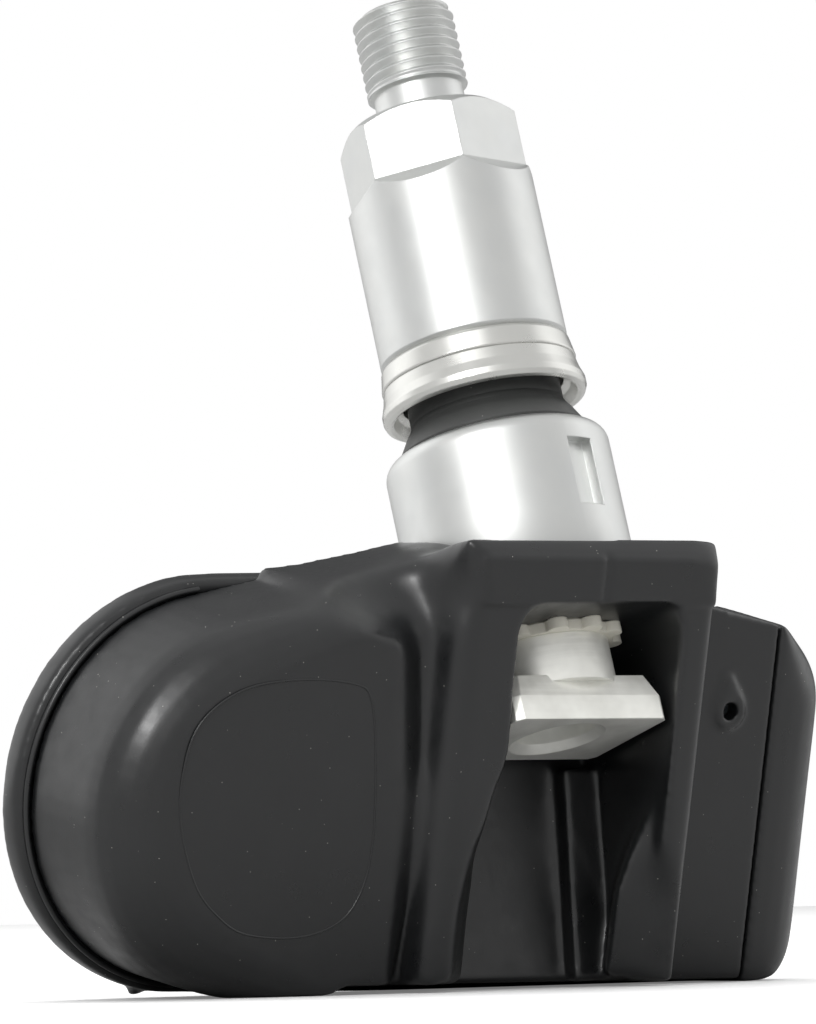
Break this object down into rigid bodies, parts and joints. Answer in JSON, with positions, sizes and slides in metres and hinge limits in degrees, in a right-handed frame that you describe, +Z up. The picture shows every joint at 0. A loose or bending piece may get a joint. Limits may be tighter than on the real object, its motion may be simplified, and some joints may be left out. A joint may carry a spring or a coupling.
{
  "type": "tyre pressure sensor",
  "caption": "Clamp-in tyre pressure sensor: black moulded housing with a battery drum and an open pocket, carrying a leaning aluminium valve with rubber seal, washer and hexagon union nut",
  "frame": {"origin": "point on the valve axis where the face of the wheel rim sits on the rubber seal, 1 mm above the collar", "axes": "+X from the battery drum to the electronics box, +Y away from the bracket's front, +Z up with the sensor standing on its underside; the valve axis leans back by about 17 degrees from +Z towards +Y, and by 0.8 degrees towards the drum"},
  "size_m": [0.0692, 0.028, 0.0748],
  "materials": {
    "black_nylon": "satin, fine moulded grain with dust",
    "anodised_aluminium": "turned and satin anodised",
    "bright_aluminium": "bright turned",
    "nickel_plate": "satin nickel over fine machining lines",
    "cream_nylon": "natural satin",
    "black_rubber": "satin",
    "brass": "turned",
    "spring_steel": "plain drawn",
    "cell_steel": "nickel-plated, satin",
    "board_green": "solder mask",
    "chip_black": "moulded",
    "grey_silicone": "soft matt",
    "ferrite": "sintered",
    "copper_wire": "enamelled",
    "capacitor_ceramic": "fired"
  },
  "bodies": {
    "sensor": {"housing": "black_nylon", "back_cover": "black_nylon", "valve_stem": "anodised_aluminium", "foot_nut": "nickel_plate", "lock_ring": "cream_nylon", "rubber_seal": "black_rubber", "core_barrel": "brass", "core_spring": "spring_steel", "battery_cell": "cell_steel", "battery_tab_plus": "spring_steel", "battery_tab_minus": "spring_steel", "circuit_board": "board_green", "pressure_chip": "chip_black", "port_seal": "grey_silicone", "coil_core": "ferrite", "coil_winding": "copper_wire", "radio_antenna": "spring_steel", "crystal": "cell_steel", "capacitors": "capacitor_ceramic"},
    "clamp_washers": {"washer": "bright_aluminium", "captive_ring": "bright_aluminium"},
    "union_nut": {"union_nut": "anodised_aluminium"},
    "core_pin": {"core_pin": "brass", "core_cup": "black_rubber"}
  },
  "joints": [
    {"name": "nut_travel", "type": "slide", "parent": "sensor", "child": "clamp_washers", "axis": [-0.0137, 0.2941, 0.9557], "range_m": [0, 0.00635]},
    {"name": "nut_turn", "type": "hinge", "parent": "clamp_washers", "child": "union_nut", "pos_m": [-0.0002, 0.00441, 0.01434], "axis": [-0.0137, 0.2941, 0.9557], "range_deg": [0, 2880]},
    {"name": "core_press", "type": "slide", "parent": "sensor", "child": "core_pin", "axis": [0.0137, -0.2941, -0.9557], "range_m": [0, 0.0012], "stiffness_N_per_m": 1500, "springref_m": -0.001, "deforming": ["core_spring"]}
  ],
  "couplings": [
    {"joint": "nut_turn", "follows": "nut_travel", "rad_per_m": 7913.2}
  ]
}
